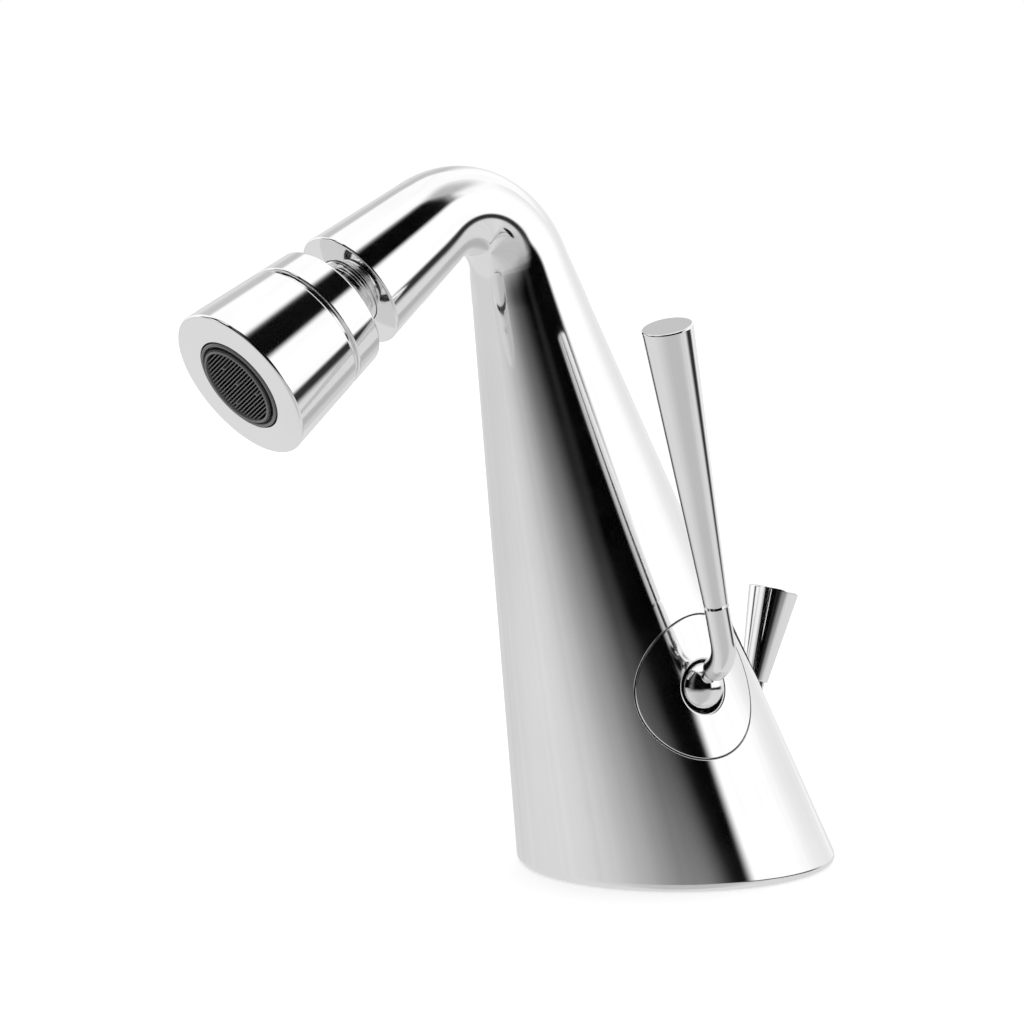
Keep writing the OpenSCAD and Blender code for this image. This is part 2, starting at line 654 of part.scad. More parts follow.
body();
base_seal();
cartridge_cover();
retaining_nut();
cartridge_housing();
cartridge_base();
port_seals();
fixed_disc();
moving_disc();
disc_carrier();
lever_rotor();
lever_ball();
lever_elbow();
handle_stud();
lever_handle();
swivel_nipple();
ball_liner();
ball_seat();
swivel_collar();
swivel_head();
aerator_seal();
flow_plate();
aerator_housing();
aerator_grid();
rod_bush();
rod_seal();
lift_rod();
lift_knob();
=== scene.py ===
# %% [markdown]
# # A bidet mixer in mirror chrome
# The object is a single-lever mixer: a leaning cone that bends over into a flared spout, a small head that
# swivels on a ball, a lever on the side and a lift knob behind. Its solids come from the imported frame,
# which also says what moves. This lesson dresses them: smooth skins for the plated pieces, finishes,
# light, camera.

# %% Open the frame
from math import radians
import bmesh
import bpy
import numpy as np
from mathutils import Matrix, Vector


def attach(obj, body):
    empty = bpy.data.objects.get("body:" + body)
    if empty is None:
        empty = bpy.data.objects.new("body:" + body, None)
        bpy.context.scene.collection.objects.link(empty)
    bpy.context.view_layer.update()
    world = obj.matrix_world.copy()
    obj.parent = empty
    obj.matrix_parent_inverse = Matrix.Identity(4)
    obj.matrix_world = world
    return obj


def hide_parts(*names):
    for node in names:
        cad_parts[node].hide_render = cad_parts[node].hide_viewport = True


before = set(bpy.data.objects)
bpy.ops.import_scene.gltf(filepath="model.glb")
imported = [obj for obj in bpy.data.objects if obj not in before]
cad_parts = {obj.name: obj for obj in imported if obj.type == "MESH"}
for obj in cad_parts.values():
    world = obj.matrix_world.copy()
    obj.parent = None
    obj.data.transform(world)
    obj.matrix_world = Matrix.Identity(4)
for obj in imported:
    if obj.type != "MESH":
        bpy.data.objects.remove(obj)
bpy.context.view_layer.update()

# %% [markdown]
# ## Finishes: what more than one of them shares
# A mirror plate is never one flat grey. It has faint cloudy differences in gloss and dried drops of water,
# and moulded parts have a fine grain. Each effect could be drawn separately in every material. Here each
# is a node group, built once, so that chrome, brass, plastic, ceramic and rubber only choose their own
# scale and amount.

# %% A node group for cloudy variation
def new_group(name, inputs, outputs):
    """A node group that takes numbers (label, value) and puts out numbers (label)."""
    group = bpy.data.node_groups.new(name, "ShaderNodeTree")
    for label, value in inputs:
        socket = group.interface.new_socket(label, in_out="INPUT", socket_type="NodeSocketFloat")
        socket.default_value = value
    for label in outputs:
        group.interface.new_socket(label, in_out="OUTPUT", socket_type="NodeSocketFloat")
    return group, group.nodes.new("NodeGroupInput"), group.nodes.new("NodeGroupOutput")


def on_object(group, kind, scale):
    """A texture that lies on the object itself, with its scale from outside the group."""
    place = group.nodes.new("ShaderNodeTexCoord")
    texture = group.nodes.new(kind)
    group.links.new(place.outputs["Object"], texture.inputs["Vector"])
    group.links.new(scale, texture.inputs["Scale"])
    return texture


cloud, cloud_in, cloud_out = new_group(
    "cloudy_gloss", [("Scale", 40.0), ("Low", 0.0), ("High", 1.0)], ["Value"])
noise = on_object(cloud, "ShaderNodeTexNoise", cloud_in.outputs["Scale"])
noise.inputs["Detail"].default_value = 4.0
spread = cloud.nodes.new("ShaderNodeMapRange")
spread.inputs["From Min"].default_value = 0.3
spread.inputs["From Max"].default_value = 0.7
cloud.links.new(noise.outputs["Fac"], spread.inputs["Value"])
cloud.links.new(cloud_in.outputs["Low"], spread.inputs["To Min"])
cloud.links.new(cloud_in.outputs["High"], spread.inputs["To Max"])
cloud.links.new(spread.outputs["Result"], cloud_out.inputs["Value"])
print("group", cloud.name)

# %% A node group for dried water drops
drops, drops_in, drops_out = new_group("dried_drops", [("Scale", 150.0), ("Size", 0.2)], ["Mask"])
cells = on_object(drops, "ShaderNodeTexVoronoi", drops_in.outputs["Scale"])
fade = drops.nodes.new("ShaderNodeMapRange")
fade.interpolation_type = "SMOOTHSTEP"
fade.inputs["To Min"].default_value = 1.0
fade.inputs["To Max"].default_value = 0.0
drops.links.new(cells.outputs["Distance"], fade.inputs["Value"])
drops.links.new(drops_in.outputs["Size"], fade.inputs["From Max"])
drops.links.new(fade.outputs["Result"], drops_out.inputs["Mask"])
print("group", drops.name)

# %% A node group for fine grain
grain, grain_in, grain_out = new_group("fine_grain", [("Scale", 900.0)], ["Height"])
specks = on_object(grain, "ShaderNodeTexNoise", grain_in.outputs["Scale"])
specks.inputs["Detail"].default_value = 2.0
grain.links.new(specks.outputs["Fac"], grain_out.inputs["Height"])
print("group", grain.name)

# %% [markdown]
# ## The finishes
# Chrome covers the outside. Inside there is raw brass, white plastic and ceramic in the cartridge, rubber
# in the seals and dark plastic in the aerator. Each could be a plain colour, but then it would look like a
# toy. All have the same bones: a cloudy colour between two close tones, a cloudy roughness, and a bump
# from the grain. Metal adds full metalness, and the chrome's dried drops dull the mirror a little where
# they sit.

# %% A maker of finishes
tone_scale, gloss_scale, grain_depth = 35.0, 90.0, 0.0002


def use(nodes, group, **values):
    """A node that uses a group, with some of its inputs set."""
    node = nodes.new("ShaderNodeGroup")
    node.node_tree = group
    for label, value in values.items():
        node.inputs[label].default_value = value
    return node


def finish(name, dark, pale, rough, metal, grain_scale, bump, spots=0.0):
    """A material between two tones and two roughnesses, with grain and perhaps with dried drops."""
    made = bpy.data.materials.new(name)
    made.use_nodes = True
    nodes, links = made.node_tree.nodes, made.node_tree.links
    shader = nodes["Principled BSDF"]
    shader.inputs["Metallic"].default_value = metal

    tone = use(nodes, cloud, Scale=tone_scale)
    mix = nodes.new("ShaderNodeMix")
    mix.data_type = "RGBA"
    mix.inputs["A"].default_value = (*dark, 1)
    mix.inputs["B"].default_value = (*pale, 1)
    links.new(tone.outputs["Value"], mix.inputs["Factor"])
    links.new(mix.outputs["Result"], shader.inputs["Base Color"])

    gloss = use(nodes, cloud, Scale=gloss_scale, Low=rough[0], High=rough[1])
    roughness = gloss.outputs["Value"]
    if spots:
        dull = nodes.new("ShaderNodeMath")
        dull.operation = "MULTIPLY_ADD"
        dull.inputs[1].default_value = spots
        links.new(use(nodes, drops).outputs["Mask"], dull.inputs[0])
        links.new(roughness, dull.inputs[2])
        roughness = dull.outputs["Value"]
    links.new(roughness, shader.inputs["Roughness"])

    raised = nodes.new("ShaderNodeBump")
    raised.inputs["Strength"].default_value = bump
    raised.inputs["Distance"].default_value = grain_depth
    links.new(use(nodes, grain, Scale=grain_scale).outputs["Height"], raised.inputs["Height"])
    links.new(raised.outputs["Normal"], shader.inputs["Normal"])
    return made


print("finishes use", cloud.name, drops.name, grain.name)

# %% Make the finishes
def grey(level):
    return (level, level, level)


chrome = finish("chrome", dark=grey(0.87), pale=grey(0.915), rough=(0.06, 0.09), metal=1.0,
                grain_scale=500, bump=0.002, spots=0.02)
brass = finish("brass", dark=(0.62, 0.46, 0.2), pale=(0.76, 0.58, 0.28), rough=(0.22, 0.36), metal=1.0,
               grain_scale=1800, bump=0.15)
black_plastic = finish("black_plastic", dark=(0.02, 0.02, 0.021), pale=(0.036, 0.036, 0.038),
                       rough=(0.24, 0.36), metal=0.0, grain_scale=2600, bump=0.15)
white_plastic = finish("white_plastic", dark=(0.72, 0.71, 0.67), pale=(0.8, 0.79, 0.76),
                       rough=(0.3, 0.45), metal=0.0, grain_scale=2200, bump=0.15)
ceramic = finish("ceramic", dark=(0.82, 0.82, 0.8), pale=(0.88, 0.88, 0.87), rough=(0.08, 0.16), metal=0.0,
                 grain_scale=1500, bump=0.05)
grid_plastic = finish("grid_plastic", dark=grey(0.11), pale=grey(0.16), rough=(0.18, 0.28), metal=0.0,
                      grain_scale=2600, bump=0.1)
rubber = finish("rubber", dark=grey(0.02), pale=grey(0.045), rough=(0.6, 0.8), metal=0.0,
                grain_scale=1600, bump=0.4)
finishes = (chrome, brass, black_plastic, grid_plastic, white_plastic, ceramic, rubber)
print("finishes:", ", ".join(made.name for made in finishes))

# %% Give the inner pieces their finishes
inner = {brass: ["retaining_nut", "handle_stud"],
         white_plastic: ["cartridge_housing", "cartridge_base", "disc_carrier", "ball_liner", "ball_seat"],
         ceramic: ["fixed_disc", "moving_disc"],
         rubber: ["base_seal", "port_seals", "aerator_seal", "rod_seal"],
         black_plastic: ["flow_plate"]}
for made, names in inner.items():
    for name in names:
        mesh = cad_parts[name].data
        mesh.materials.clear()
        mesh.materials.append(made)
print("inner pieces finished:", sum(len(names) for names in inner.values()))

# %% [markdown]
# ## The centre line of the body
# The real body is one casting: a cone that leans forward, a tight bend and a spout that flares, all
# without a seam. It could be a curve with a bevel, but a curve gives no say over the radius inside the
# bend. So the skin is a formula: a distance along the centre line and an angle round it give a point.

# %% The skin's formula
mm = 0.001
lean, spout_drop = radians(18.2), radians(33.8)
taper, flare = np.tan(radians(9.8)), np.tan(radians(6.8))
base_r, cone_len = 35.65 * mm, 144 * mm
bend_r, spout_r, spout_len = 16.3 * mm, 10.3 * mm, 24.5 * mm
bend_turn = radians(90) + spout_drop - lean
bend_len = bend_r * bend_turn
cone_top_r = base_r - taper * cone_len
inside = 0.9965  # the smooth skin stays just inside the CAD's facets
lean_turn = Matrix.Rotation(lean, 4, "X")


def cone_radius(s):
    return base_r - taper * s


def tilted(points):
    """Points in the cone's own upright frame, leant forward."""
    return points @ np.array(lean_turn.to_3x3()).T


def skin(s, v):
    """Points of the body's skin: s along the centre line, v round it."""
    s, v = np.broadcast_arrays(np.asarray(s, float), np.asarray(v, float))
    u = np.clip((s - cone_len) / bend_len, 0, 1)
    past = np.maximum(s - cone_len - bend_len, 0)
    turn = u * bend_turn
    y = bend_r * (np.cos(turn) - 1) - past * np.sin(bend_turn)
    z = np.minimum(s, cone_len) + bend_r * np.sin(turn) + past * np.cos(bend_turn)
    # In the bend the radius eases from the cone's slope into the spout's
    eased = ((2 * u**3 - 3 * u**2 + 1) * cone_top_r - (u**3 - 2 * u**2 + u) * bend_len * taper
             + (3 * u**2 - 2 * u**3) * spout_r + (u**3 - u**2) * bend_len * flare)
    r = inside * np.where(s < cone_len, cone_radius(s), eased + past * flare)
    out = r * np.sin(v)
    return tilted(np.stack([r * np.cos(v), y + out * np.cos(turn), z + out * np.sin(turn)], -1))


tip = skin(cone_len + bend_len + spout_len, np.linspace(0, 2 * np.pi, 9))
print("spout ends at z =", (tip[:, 2].min() / mm).round(1), "to", (tip[:, 2].max() / mm).round(1), "mm")

# %% The skin's normals
blend_reach, blend_steps = 6 * mm, 7
tiny_s, tiny_v = 1e-6, 1e-4


def unit(vectors):
    return vectors / np.linalg.norm(vectors, axis=-1, keepdims=True)


def skin_normal(s, v):
    """Mean normal over a short way along the skin, so that reflections flow from the cone into the bend."""
    total = 0
    for shift in np.linspace(-blend_reach, blend_reach, blend_steps):
        along = skin(s + shift + tiny_s, v) - skin(s + shift - tiny_s, v)
        across = skin(s + shift, v + tiny_v) - skin(s + shift, v - tiny_v)
        total = total + unit(np.cross(across, along))
    return unit(total)


print("normal on the cone's right side:", skin_normal(cone_len / 2, 0.0).round(2))

# %% [markdown]
# ## The body's skin
# On a mirror every uneven facet shows as a kink in a reflection. A boolean would leave long slivers round
# the cover's seat, so the skin is a net of small even quads. Where the cover and the rod's bush sit, a
# square of the net is left out and filled with rings that run from a circle to the square. The normals
# come from the formula.

# %% Rows and columns of the net
valve_s, cover_r, seat_gap = 47.2 * mm, 15.52 * mm, 0.24 * mm
# Each square that is left out: from and to along the cone, and half its width
cover_block = (27 * mm, 67 * mm, 20 * mm)
bush_block = (14 * mm, 32 * mm, 9 * mm)
cover_cols, gap_cols, bush_cols, rest_cols = 40, 12, 18, 72


def columns(s):
    """Angles round the cone at each s: the cover's block, a gap, the bush's block and the rest."""
    s = np.asarray(s, float)[..., None]
    cover_p = np.linspace(-1, 1, cover_cols + 1) * cover_block[2]
    bush_p = np.linspace(1, -1, bush_cols + 1) * bush_block[2]
    at_cover = np.arcsin(cover_p / cone_radius(np.clip(s, *cover_block[:2])))
    at_bush = np.pi / 2 - np.arcsin(bush_p / cone_radius(np.clip(s, *bush_block[:2])))
    gap = np.linspace(0, 1, gap_cols + 1)[1:-1]
    rest = np.linspace(0, 1, rest_cols + 1)[1:-1]
    between = at_cover[..., -1:] * (1 - gap) + at_bush[..., :1] * gap
    behind = at_bush[..., -1:] * (1 - rest) + (2 * np.pi + at_cover[..., :1]) * rest
    return np.concatenate([at_cover, between, at_bush, behind], -1)


first_mm, bend_steps, spout_steps, spout_edge = 14, 60, 24, 0.5 * mm
cone_rows = np.arange(first_mm, round(cone_len / mm)) * mm
bend_rows = cone_len + np.linspace(0, bend_len, bend_steps + 1)
spout_rows = cone_len + bend_len + np.linspace(0, spout_len - spout_edge, spout_steps + 1)[1:]
rows = np.concatenate([cone_rows, bend_rows, spout_rows])
around = columns(rows)
print("net of the skin:", around.shape[0], "rows by", around.shape[1], "columns")

# %% The foot, level with the deck
foot_r, foot_steps, well_wall, well_h = 2 * mm, 14, 5.6 * mm, 22 * mm
down = np.array([0, 0, -1.0])
foot_v = columns(rows[:1])[0]


def level_s(h, radius, slope):
    """Where the lines of a leaning cone, given by its foot's radius and its slope, reach the height h."""
    across = np.sin(foot_v) * np.sin(lean)
    return (h - radius * across) / (np.cos(lean) - slope * across)


def skin_level(h):
    return level_s(h, inside * base_r, inside * taper)


def well_line(h):
    """Level line of the hose well's wall, which runs inside the skin."""
    s = level_s(h, base_r - well_wall, taper)
    r = base_r - well_wall - taper * s
    return tilted(np.stack([r * np.cos(foot_v), r * np.sin(foot_v), s], -1))


foot_points, foot_normals = [well_line(0)], [np.tile(down, (len(foot_v), 1))]
for t in np.radians(range(90, -1, -15)):
    h, inset = foot_r * (1 - np.sin(t)), foot_r * (1 - np.cos(t))
    s = skin_level(h)
    p = skin(s, foot_v)
    inward = np.array([0, -h * np.tan(lean), h]) - p
    inward[:, 2] = 0
    foot_points.append(p + unit(inward) * inset)
    foot_normals.append(unit(skin_normal(s, foot_v) * np.cos(t) + down * np.sin(t)))
for f in np.linspace(0, 1, foot_steps + 1)[1:-1]:
    s = skin_level(foot_r) * (1 - f) + rows[0] * f
    foot_points.append(skin(s, foot_v))
    foot_normals.append(skin_normal(s, foot_v))
print("rows in the foot:", len(foot_points))

# %% Join the rows into one mesh
crease = radians(40)


def mesh_piece(name, points, faces, material, normals=None):
    """A smooth mesh. Without normals of its own, its edges above the crease angle stay sharp."""
    mesh = bpy.data.meshes.new(name)
    mesh.from_pydata([tuple(p) for p in points], [], faces)
    mesh.shade_smooth()
    if normals is None:
        mesh.set_sharp_from_angle(angle=crease)
    else:
        mesh.normals_split_custom_set_from_vertices([tuple(n) for n in normals])
    mesh.materials.append(material)
    piece = bpy.data.objects.new(name, mesh)
    bpy.context.scene.collection.objects.link(piece)
    return piece


def quad(a, b, k, n, flip=False):
    """Face k between two rings of n points that start at a and b. Flipped, it faces the other way."""
    after = (k + 1) % n
    if flip:
        return (a + k, b + k, b + after, a + after)
    return (a + k, a + after, b + after, b + k)


n_round = around.shape[1]
net_points = list(np.concatenate(foot_points))
net_normals = list(np.concatenate(foot_normals))
net_points += list(skin(rows[:, None], around).reshape(-1, 3))
net_normals += list(skin_normal(rows[:, None], around).reshape(-1, 3))
first_row = len(foot_points)
n_rows = first_row + len(rows)


def row_of(s):
    return first_row + round(s / mm) - first_mm


bush_col = cover_cols + gap_cols
cover_cells = (row_of(cover_block[0]), row_of(cover_block[1]), 0, cover_cols)
bush_cells = (row_of(bush_block[0]), row_of(bush_block[1]), bush_col, bush_col + bush_cols)


def left_out(j, i):
    return any(a <= j < b and c <= i < d for a, b, c, d in (cover_cells, bush_cells))


net_faces = [quad(j * n_round, (j + 1) * n_round, i, n_round)
             for j in range(n_rows - 1) for i in range(n_round) if not left_out(j, i)]
print("quads in the net:", len(net_faces))

# %% Where a seat's edge lies on the cone
rod_lean, rod_y, rod_r = radians(16.2), 14.6 * mm, 2.5 * mm
bush_r, bush_s = 4.5 * mm, 21.8 * mm
rod_axis = np.array([0, np.sin(rod_lean), np.cos(rod_lean)])
rod_foot = np.array([0, rod_y, 0])
right_side, rear_side = 0, np.pi / 2
halvings = 40


def side_angle(facing, p, s):
    """Angle round the cone of a point seen square on from the side that faces: p across, s along."""
    off = np.arcsin(p / cone_radius(s))
    return facing + (off if facing == right_side else -off)


def side_point(facing, p, s):
    v = side_angle(facing, p, s)
    return skin(s, v), skin_normal(s, v)


def across_axis(vectors, axis):
    """What is left of vectors square to an axis."""
    return vectors - (vectors @ axis)[..., None] * axis


def cover_distance(p, s):
    return np.hypot(p, s - valve_s)


def bush_distance(p, s):
    return np.linalg.norm(across_axis(skin(s, side_angle(rear_side, p, s)) - rod_foot, rod_axis), axis=-1)


def seat_edge(distance, centre_s, radius, p, s):
    """Where the way from the seat's middle out to (p, s) is radius away from its axis."""
    low, high = np.zeros_like(p), np.ones_like(p)
    for _ in range(halvings):
        mid = (low + high) / 2
        near = distance(p * mid, centre_s + (s - centre_s) * mid) < radius
        low, high = np.where(near, mid, low), np.where(near, high, mid)
    return p * low, centre_s + (s - centre_s) * low


print("bush's middle is", (bush_distance(0.0, bush_s) / mm).round(2), "mm off the rod's axis")

# %% Rings from a round seat out to the square
crowding = 0.8  # below 1, the rings crowd towards the seat
edge_angles = np.radians([22.5, 45, 67.5, 90])
x_axis = np.array([1.0, 0, 0])


def add_ring(ring, points, normals):
    """Joins a new ring of points to the last one, and gives the new ring's numbers."""
    start, n = len(net_points), len(points)
    net_points.extend(points)
    net_normals.extend(normals)
    net_faces.extend((ring[k], ring[(k + 1) % n], start + (k + 1) % n, start + k) for k in range(n))
    return list(range(start, start + n))


def fill_seat(cells, facing, distance, centre_s, radius, axis, depth, steps=10, edge=0.2 * mm):
    """Closes a square of the net down to a round seat, with a rounded edge and a wall."""
    j0, j1, i0, i1 = cells
    border = [(j0, i) for i in range(i0, i1)] + [(j, i1) for j in range(j0, j1)]
    border += [(j1, i) for i in range(i1, i0, -1)] + [(j, i0) for j in range(j1, j0, -1)]
    s = np.array([rows[j - first_row] for j, i in border])
    v = np.array([around[j - first_row, i] for j, i in border])
    p = cone_radius(s) * (np.sin(v) if facing == right_side else np.cos(v))
    rim_p, rim_s = seat_edge(distance, centre_s, radius + edge, p, s)
    lines = []
    for f in np.linspace(0, 1, steps + 1)[1:] ** crowding:
        lines.append((p + (rim_p - p) * f, s + (rim_s - s) * f, 0.0))
    for t in edge_angles:
        lines.append((*seat_edge(distance, centre_s, radius + edge * (1 - np.sin(t)), p, s), t))
    ring = [j * n_round + i for j, i in border]
    for at_p, at_s, t in lines:
        points, normals = side_point(facing, at_p, at_s)
        points = points - axis * edge * (1 - np.cos(t))
        away = unit(across_axis(points - points.mean(0), axis))
        ring = add_ring(ring, points, normals * np.cos(t) - away * np.sin(t))
    add_ring(ring, points - axis * depth, -away)


fill_seat(cover_cells, right_side, cover_distance, valve_s, cover_r + seat_gap, x_axis, depth=4 * mm)
fill_seat(bush_cells, rear_side, bush_distance, bush_s, bush_r, rod_axis, depth=3 * mm)
print("points in the skin:", len(net_points))

# %% The spout's end face and its bore
spout_dir = np.array([0, -np.cos(spout_drop), -np.sin(spout_drop)])
end_s = cone_len + bend_len + spout_len
end_mid = skin(np.array([end_s, end_s]), np.array([0, np.pi])).mean(0)
end_r = inside * (spout_r + flare * spout_len)
spout_ray = (skin(end_s, around[-1]) - end_mid) / end_r
flange_r = 7.5 * mm
bore_r, mouth_edge, bore_depth = flange_r + 0.1 * mm, 0.15 * mm, 3 * mm


def at_end(radius, back):
    """A ring in the spout's end face, or some way back from it."""
    return end_mid - spout_dir * back + spout_ray * radius


ring = [(n_rows - 1) * n_round + i for i in range(n_round)]
for t in np.radians([15, 30, 45, 60, 75, 90]):
    at = at_end(end_r - spout_edge * (1 - np.cos(t)), spout_edge * (1 - np.sin(t)))
    ring = add_ring(ring, at, spout_ray * np.cos(t) + spout_dir * np.sin(t))
for t in np.radians([0, 45, 90]):
    at = at_end(bore_r + mouth_edge * (1 - np.sin(t)), mouth_edge * (1 - np.cos(t)))
    ring = add_ring(ring, at, spout_dir * np.cos(t) - spout_ray * np.sin(t))
add_ring(ring, at_end(bore_r, bore_depth), -spout_ray)

body_skin = mesh_piece("body_skin", net_points, net_faces, chrome, net_normals)
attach(body_skin, "root")
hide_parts("body")
print("body skin:", len(body_skin.data.polygons), "faces")

# %% [markdown]
# ## The hose well
# Nobody sees the underside once the mixer stands on a bidet, but a library part can be turned over. The
# casting is raw brass there: a well for two hoses, a boss with the stud's thread, and two threaded
# sockets. The well's ceiling is a flat face with three holes in it, so it is filled by triangles instead
# of a net.

# %% Wall and ceiling
inlets = [(-12.94 * mm, y * mm) for y in (-8.38, -19.07)]
inlet_r, boss_r, circle_points = 4.5 * mm, 7.5 * mm, 64


def circle(x, y, r):
    turns = np.arange(circle_points) * 2 * np.pi / circle_points
    return [(x + r * np.cos(a), y + r * np.sin(a), well_h) for a in turns]


builder = bmesh.new()
borders = []
for line in [well_line(well_h), circle(0, 0, boss_r)] + [circle(*at, inlet_r) for at in inlets]:
    verts = [builder.verts.new(p) for p in line]
    borders += [builder.edges.new((a, b)) for a, b in zip(verts, verts[1:] + verts[:1])]
bmesh.ops.triangle_fill(builder, use_beauty=True, edges=borders)
builder.verts.index_update()
well_points = [tuple(v.co) for v in builder.verts]
well_faces = [tuple(v.index for v in f.verts) for f in builder.faces]
builder.free()
for h in (0, well_h / 2, well_h):
    start = len(well_points)
    well_points += list(well_line(h))
    if h > 0:
        well_faces += [quad(start, start - n_round, i, n_round) for i in range(n_round)]
well = mesh_piece("hose_well", well_points, well_faces, brass)
print("hose well:", len(well.data.polygons), "faces")

# %% [markdown]
# ## Two pieces flush with the cone
# The cartridge's cover is a turned disc with a hole for the lever's ball, and the lift rod slides in a
# bush. Both are filed flush with the cone and plated, so each outer face is a patch of the same cone. It
# then reflects as if it were one with the body, and only the fine seam round it shows. A boolean cut would
# lose that.

# %% Build the cover
hole_r, flush_points, face_rings = 5.85 * mm, 128, 24
phi = np.arange(flush_points) * 2 * np.pi / flush_points


def flush_ring(name, line, outer, bore, edge, bore_edge, depth):
    """A ring that follows the cone: line gives its points and normals at a radius and a drop below it."""
    for heap in (net_points, net_normals, net_faces):
        heap.clear()
    outline = [(outer, depth, np.pi / 2, 1)]
    for t in np.radians([90, 60, 30, 0]):
        outline.append((outer - edge * (1 - np.sin(t)), edge * (1 - np.cos(t)), t, 1))
    for r in np.linspace(outer - edge, bore + bore_edge, face_rings)[1:]:
        outline.append((r, 0.0, 0.0, 1))
    for t in np.radians([18, 36, 54, 72, 90]):
        outline.append((bore + bore_edge * (1 - np.sin(t)), bore_edge * (1 - np.cos(t)), t, -1))
    outline.append((bore, depth, np.pi / 2, -1))
    points, normals = line(*outline[0])
    net_points.extend(points)
    net_normals.extend(normals)
    ring = list(range(len(points)))
    for step in outline[1:]:
        ring = add_ring(ring, *line(*step))
    return mesh_piece(name, net_points, net_faces, chrome, net_normals)


def cover_line(radius, drop, t, side):
    points, normals = side_point(right_side, radius * np.cos(phi), valve_s + radius * np.sin(phi))
    away = tilted(np.stack([0 * phi, np.cos(phi), np.sin(phi)], -1))
    return points - x_axis * drop, normals * np.cos(t) + side * away * np.sin(t)


cover = flush_ring("cover_disc", cover_line, outer=cover_r, bore=hole_r,
                   edge=0.2 * mm, bore_edge=0.5 * mm, depth=6 * mm)
print("cover disc:", len(cover.data.polygons), "faces")

# %% Build the bush's ring
bush_span, slide_gap = 8 * mm, 0.08 * mm


def bush_line(radius, drop, t, side):
    far_p, far_s = -bush_span * np.cos(phi), bush_s + bush_span * np.sin(phi)
    p, s = seat_edge(bush_distance, bush_s, radius, far_p, far_s)
    points, normals = side_point(rear_side, p, s)
    away = unit(across_axis(points - rod_foot, rod_axis))
    return points - rod_axis * drop, normals * np.cos(t) + side * away * np.sin(t)


bush = flush_ring("bush_ring", bush_line, outer=bush_r - slide_gap, bore=rod_r + slide_gap,
                  edge=0.1 * mm, bore_edge=0.2 * mm, depth=3 * mm)
for piece, node in ((cover, "cartridge_cover"), (bush, "rod_bush")):
    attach(piece, "root")
    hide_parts(node)
print("bush ring:", len(bush.data.polygons), "faces")

# %% [markdown]
# ## Turned pieces
# The handle, the head, the neck and the knob come off a lathe on the real object, so they are made like
# that here: a profile of radius and height is spun round an axis. A Screw modifier could spin it, but a
# plain loop lets each long line get a support ring close to its ends, and those keep the mirror true right
# up to a rounded rim.

# %% Profiles with rounded corners
long_line, hold, spacing = 0.5 * mm, 0.06 * mm, 2 * mm


def in_mm(*corners):
    """Corners of a profile (radius, height, rounding) that are given in millimetres."""
    return [tuple(value * mm for value in corner) for corner in corners]


def fillet(corner, before, after, radius, steps=6):
    """The arc that rounds off a corner of a profile."""
    c, a, b = (np.array(p, float) for p in (corner, before, after))
    ua, ub = unit(a - c), unit(b - c)
    half = np.arccos(np.clip(ua @ ub, -1, 1)) / 2
    start, stop = c + ua * radius / np.tan(half), c + ub * radius / np.tan(half)
    middle = c + unit(ua + ub) * radius / np.sin(half)
    a0, a1 = (np.arctan2(*(q - middle)[::-1]) for q in (start, stop))
    a1 += 2 * np.pi * round((a0 - a1) / (2 * np.pi))
    return [middle + radius * np.array([np.cos(t), np.sin(t)]) for t in np.linspace(a0, a1, steps + 1)]


def rounded(profile):
    """The corners of a profile as plain points, with support rings on its long lines."""
    points = []
    for k, (r, z, rounding) in enumerate(profile):
        if rounding:
            points += fillet((r, z), profile[k - 1][:2], profile[k + 1][:2], rounding)
        else:
            points.append(np.array([r, z], float))
    held = [points[0]]
    for a, b in zip(points, points[1:]):
        length = np.linalg.norm(b - a)
        if length > long_line:
            ways = [hold / length, 1 - hold / length]
            ways += list(np.arange(1, int(length / spacing) + 1) * spacing / length)
            held += [a + (b - a) * w for w in sorted(w for w in ways if 0 < w < 1)]
        held.append(b)
    return held


sample = in_mm((0, 0, 0), (10, 0, 1), (10, 10, 1), (0, 10, 0))
print("a profile of", len(sample), "corners becomes", len(rounded(sample)), "points")

# %% A lathe
on_axis = 1e-7


def turned(name, profile, place, material, sides=128):
    """Spins the profile round the Z axis of place."""
    turns = np.arange(sides) * 2 * np.pi / sides
    points, faces, start = [], [], None
    for r, z in rounded(profile):
        here = len(points)
        if r < on_axis:
            points.append(place @ Vector((0, 0, z)))
            if start is not None:
                faces += [(start + k, start + (k + 1) % sides, here) for k in range(sides)]
            start = (here,)
            continue
        points += [place @ Vector((r * np.cos(a), r * np.sin(a), z)) for a in turns]
        if isinstance(start, tuple):
            faces += [(start[0], here + (k + 1) % sides, here + k) for k in range(sides)]
        elif start is not None:
            faces += [quad(start, here, k, sides) for k in range(sides)]
        start = here
    return mesh_piece(name, points, faces, material)


print("lathe ready")

# %% Threads in the hose well
def thread(core, depth, pitch, low, high):
    """Profile of a threaded hole from low up to its flat end at high."""
    turns = np.arange(low, high - pitch / 2, pitch)
    ridges = [corner for z in turns for corner in ((core, z, 0), (core + depth, z + pitch / 2, 0))]
    return ridges + [(core, high, 0), (0, high, 0)]


stud_hole = thread(core=3.4 * mm, depth=0.5 * mm, pitch=1.25 * mm, low=0, high=14 * mm)
stud_boss = turned("stud_boss", [(boss_r, well_h, 0), (boss_r, 0, 0.3 * mm)] + stud_hole,
                   Matrix.Identity(4), brass)
hose_hole = thread(core=inlet_r, depth=0.4 * mm, pitch=1 * mm, low=well_h, high=well_h + 8.5 * mm)
sockets = [turned("hose_socket_" + side, hose_hole, Matrix.Translation((*at, 0)), brass)
           for side, at in zip(("rear", "front"), inlets)]
for piece in [well, stud_boss] + sockets:
    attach(piece, "root")
print("threads cut:", 1 + len(sockets))

